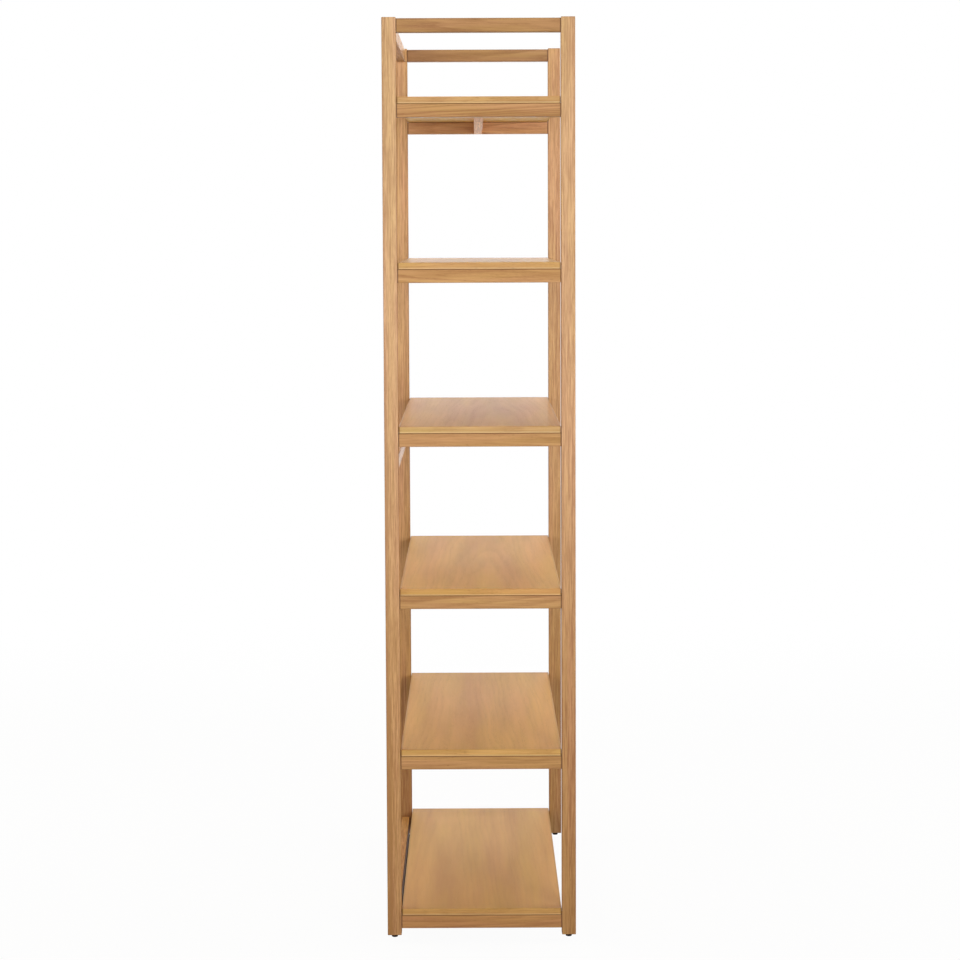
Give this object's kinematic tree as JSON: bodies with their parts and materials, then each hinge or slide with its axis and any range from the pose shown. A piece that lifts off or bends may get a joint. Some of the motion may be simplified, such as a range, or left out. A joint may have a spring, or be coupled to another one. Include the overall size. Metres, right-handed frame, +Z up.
{
  "type": "bookcase",
  "caption": "Tall open oak bookcase with ladder end frames, full-length shelves resting on the rungs, back rails and screw-in levelling feet.",
  "frame": {"origin": "on the floor under the middle of the bookcase, with the feet screwed right in", "axes": "+Z up, X along the shelves, +Y towards the back, where the rails are"},
  "size_m": [0.915, 0.378, 1.83],
  "materials": {
    "oak_frame": "clear satin lacquer on oak",
    "oak_shelf": "clear satin lacquer on oak",
    "beech_dowel": "bare beech",
    "zinc": "die-cast zinc, matt",
    "steel": "zinc-plated steel",
    "brass": "plain brass",
    "black_plastic": "matt black nylon"
  },
  "bodies": {
    "frame": {"left_front_post": "oak_frame", "left_back_post": "oak_frame", "right_front_post": "oak_frame", "right_back_post": "oak_frame", "left_rung_1": "oak_frame", "left_rung_2": "oak_frame", "left_rung_3": "oak_frame", "left_rung_4": "oak_frame", "left_rung_5": "oak_frame", "left_rung_6": "oak_frame", "right_rung_1": "oak_frame", "right_rung_2": "oak_frame", "right_rung_3": "oak_frame", "right_rung_4": "oak_frame", "right_rung_5": "oak_frame", "right_rung_6": "oak_frame", "left_top_rung": "oak_frame", "right_top_rung": "oak_frame", "shelf_1": "oak_shelf", "shelf_2": "oak_shelf", "shelf_3": "oak_shelf", "shelf_4": "oak_shelf", "shelf_5": "oak_shelf", "shelf_6": "oak_shelf", "shelf_stretcher_1": "oak_frame", "shelf_stretcher_2": "oak_frame", "shelf_stretcher_3": "oak_frame", "shelf_stretcher_4": "oak_frame", "shelf_stretcher_5": "oak_frame", "shelf_stretcher_6": "oak_frame", "bottom_back_rail": "oak_frame", "middle_back_rail": "oak_frame", "top_back_rail": "oak_frame", "left_frame_dowels": "beech_dowel", "right_frame_dowels": "beech_dowel", "stretcher_dowels": "beech_dowel", "rail_dowels": "beech_dowel", "stretcher_cam_bolts": "steel", "rail_cam_bolts": "steel", "stretcher_cam_locks": "zinc", "rail_cam_locks": "zinc", "shelf_screws": "steel", "foot_inserts": "brass"},
    "left_front_foot": {"left_front_foot_pad": "black_plastic", "left_front_foot_stud": "steel"},
    "left_back_foot": {"left_back_foot_pad": "black_plastic", "left_back_foot_stud": "steel"},
    "right_front_foot": {"right_front_foot_pad": "black_plastic", "right_front_foot_stud": "steel"},
    "right_back_foot": {"right_back_foot_pad": "black_plastic", "right_back_foot_stud": "steel"}
  },
  "joints": [
    {"name": "left_front_foot_screw", "type": "slide", "parent": "frame", "child": "left_front_foot", "axis": [0, 0, -1], "range_m": [0, 0.008]},
    {"name": "left_back_foot_screw", "type": "slide", "parent": "frame", "child": "left_back_foot", "axis": [0, 0, -1], "range_m": [0, 0.008]},
    {"name": "right_front_foot_screw", "type": "slide", "parent": "frame", "child": "right_front_foot", "axis": [0, 0, -1], "range_m": [0, 0.008]},
    {"name": "right_back_foot_screw", "type": "slide", "parent": "frame", "child": "right_back_foot", "axis": [0, 0, -1], "range_m": [0, 0.008]}
  ]
}
